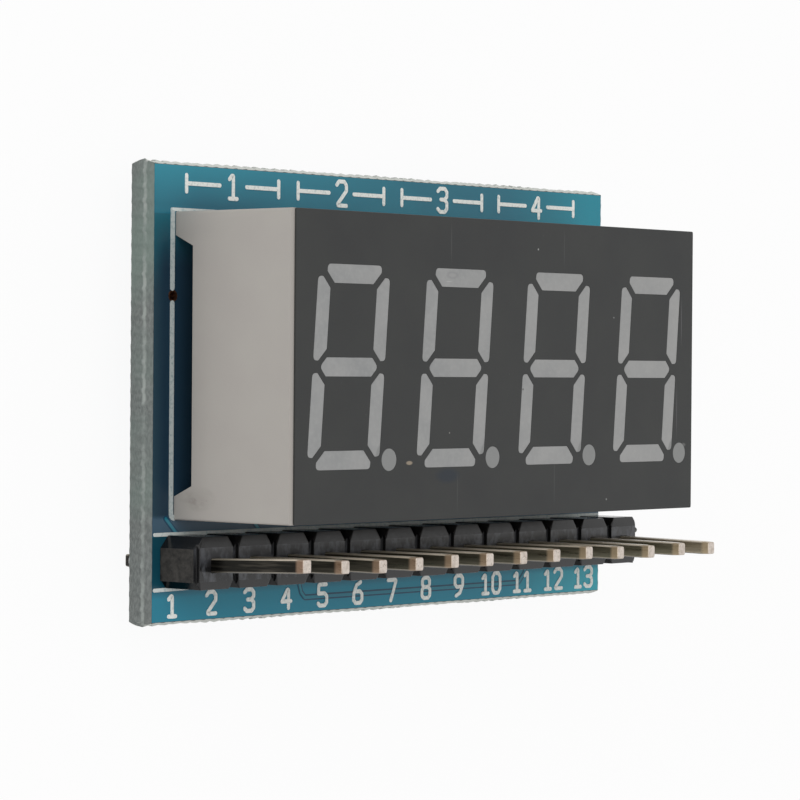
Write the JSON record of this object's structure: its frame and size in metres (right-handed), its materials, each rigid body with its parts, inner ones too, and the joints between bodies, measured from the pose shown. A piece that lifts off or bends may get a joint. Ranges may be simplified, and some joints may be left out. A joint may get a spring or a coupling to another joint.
{
  "type": "seven segment display module",
  "caption": "Seven segment LED display soldered to a small blue carrier board, with a row of upright header pins along one long edge and its driver parts on the back.",
  "frame": {"origin": "under the middle of the module's box, on the surface that it lies on", "axes": "+X along the header row to the last pin, +Y from the header edge to the title edge, +Z out of the display's face"},
  "size_m": [0.0334, 0.021, 0.0111],
  "materials": {
    "laminate": "snapped glass laminate, rough",
    "solder_mask": "glossy blue-green coat",
    "header_plastic": "matte black moulding",
    "pin_plating": "dull plated",
    "solder": "bright solder",
    "display_plastic": "fine satin moulding",
    "face_ink": "matte dark print",
    "segment_resin": "milky resin",
    "led_die": "bare die",
    "chip_board": "bare laminate",
    "potting": "cast resin",
    "tinned_wire": "tinned",
    "transistor_plastic": "matte black moulding",
    "lead_tin": "tinned",
    "resistor_ceramic": "dark glaze over pale ceramic",
    "terminal_tin": "tinned"
  },
  "bodies": {
    "root": {"base_resistor_1": "resistor_ceramic", "base_resistor_2": "resistor_ceramic", "base_resistor_3": "resistor_ceramic", "base_resistor_4": "resistor_ceramic", "board_laminate": "laminate", "digit_1_segments": "segment_resin", "digit_2_segments": "segment_resin", "digit_3_segments": "segment_resin", "digit_4_segments": "segment_resin", "digit_transistor_1": "transistor_plastic", "digit_transistor_2": "transistor_plastic", "digit_transistor_3": "transistor_plastic", "digit_transistor_4": "transistor_plastic", "display_chip_board": "chip_board", "display_face": "face_ink", "display_pin_01": "tinned_wire", "display_pin_02": "tinned_wire", "display_pin_03": "tinned_wire", "display_pin_04": "tinned_wire", "display_pin_05": "tinned_wire", "display_pin_06": "tinned_wire", "display_pin_07": "tinned_wire", "display_pin_08": "tinned_wire", "display_pin_09": "tinned_wire", "display_pin_10": "tinned_wire", "display_pin_11": "tinned_wire", "display_pin_12": "tinned_wire", "display_potting": "potting", "display_reflector": "display_plastic", "display_solder": "solder", "header_insulator": "header_plastic", "header_pin_01": "pin_plating", "header_pin_02": "pin_plating", "header_pin_03": "pin_plating", "header_pin_04": "pin_plating", "header_pin_05": "pin_plating", "header_pin_06": "pin_plating", "header_pin_07": "pin_plating", "header_pin_08": "pin_plating", "header_pin_09": "pin_plating", "header_pin_10": "pin_plating", "header_pin_11": "pin_plating", "header_pin_12": "pin_plating", "header_pin_13": "pin_plating", "header_solder": "solder", "led_chips": "led_die", "resistor_terminals": "terminal_tin", "segment_resistor_1": "resistor_ceramic", "segment_resistor_2": "resistor_ceramic", "segment_resistor_3": "resistor_ceramic", "segment_resistor_4": "resistor_ceramic", "segment_resistor_5": "resistor_ceramic", "segment_resistor_6": "resistor_ceramic", "segment_resistor_7": "resistor_ceramic", "segment_resistor_8": "resistor_ceramic", "solder_mask_back": "solder_mask", "solder_mask_front": "solder_mask", "transistor_leads": "lead_tin"}
  },
  "joints": []
}
